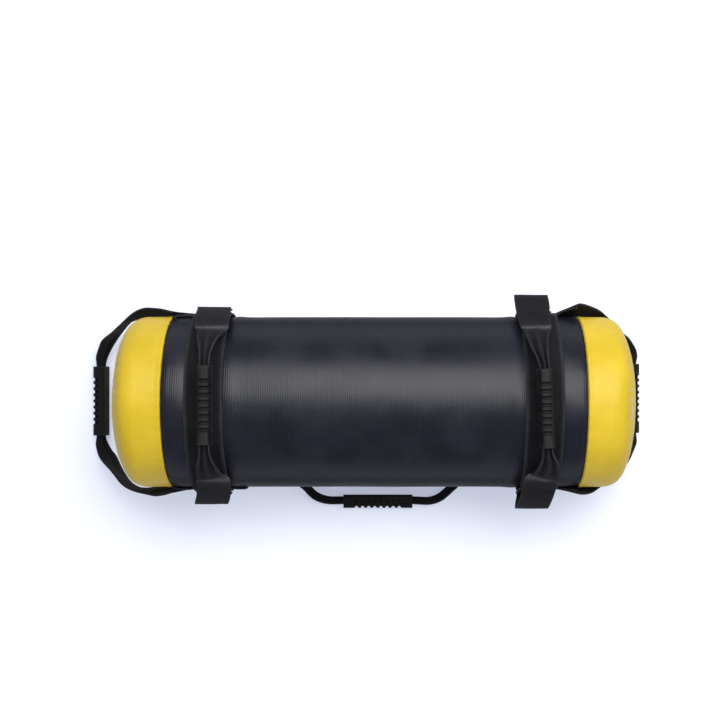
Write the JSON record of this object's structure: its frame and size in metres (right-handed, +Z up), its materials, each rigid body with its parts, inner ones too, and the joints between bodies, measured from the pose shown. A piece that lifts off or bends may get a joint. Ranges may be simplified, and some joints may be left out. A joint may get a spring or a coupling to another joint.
{
  "type": "sandbag trainer",
  "caption": "Padded cylindrical sandbag trainer lying on its side, with rounded ends and webbing handles with ribbed grips on the front, both ends and one side.",
  "frame": {"origin": "middle of the flat that the bag rests on", "axes": "+X along the bag, +Z up, and -Y towards the side that carries the long side handle"},
  "size_m": [0.7031, 0.2673, 0.237],
  "materials": {
    "body_cloth": "satin coated cloth with fine ribs round the bag",
    "cap_cloth": "satin coated cloth",
    "webbing": "matt woven webbing",
    "grip_rubber": "moulded, matt",
    "seam_tape": "matt tape",
    "foam": "soft closed-cell foam",
    "pouch_film": "thick film",
    "sand": "loose sand"
  },
  "bodies": {
    "bag": {"body_shell": "body_cloth", "end_cap_left": "cap_cloth", "end_cap_right": "cap_cloth", "seam_tape_left": "seam_tape", "seam_tape_right": "seam_tape", "foam_sleeve": "foam", "foam_end_left": "foam", "foam_end_right": "foam", "filler_pouch": "pouch_film", "filler_pouch_end": "pouch_film", "sand_fill": "sand", "girth_band_left": "webbing", "girth_band_right": "webbing", "front_strap_end_left_far": "webbing", "end_strap_tail_left_far": "webbing", "front_strap_end_left_near": "webbing", "end_strap_tail_left_near": "webbing", "side_strap_end_left": "webbing", "front_strap_end_right_far": "webbing", "end_strap_tail_right_far": "webbing", "front_strap_end_right_near": "webbing", "end_strap_tail_right_near": "webbing", "side_strap_end_right": "webbing"},
    "front_handle_left": {"front_strap_left": "webbing", "front_grip_left": "grip_rubber"},
    "end_handle_left": {"end_strap_left": "webbing", "end_grip_left": "grip_rubber"},
    "front_handle_right": {"front_strap_right": "webbing", "front_grip_right": "grip_rubber"},
    "end_handle_right": {"end_strap_right": "webbing", "end_grip_right": "grip_rubber"},
    "side_handle": {"side_strap": "webbing", "side_grip": "grip_rubber"}
  },
  "joints": [
    {"name": "front_handle_left_swing", "type": "hinge", "parent": "bag", "child": "front_handle_left", "pos_m": [-0.189, 0, 0.0975], "axis": [0, 1, 0], "range_deg": [-22, 22]},
    {"name": "front_handle_right_swing", "type": "hinge", "parent": "bag", "child": "front_handle_right", "pos_m": [0.189, 0, 0.0975], "axis": [0, 1, 0], "range_deg": [-22, 22]},
    {"name": "end_handle_left_swing", "type": "hinge", "parent": "bag", "child": "end_handle_left", "pos_m": [-0.238, 0, 0.0975], "axis": [0, 1, 0], "range_deg": [0, 110]},
    {"name": "end_handle_right_swing", "type": "hinge", "parent": "bag", "child": "end_handle_right", "pos_m": [0.238, 0, 0.0975], "axis": [0, -1, 0], "range_deg": [0, 110]},
    {"name": "side_handle_swing", "type": "hinge", "parent": "bag", "child": "side_handle", "pos_m": [0, -0.0926, 0.04103], "axis": [-1, 0, 0], "range_deg": [0, 90]}
  ]
}
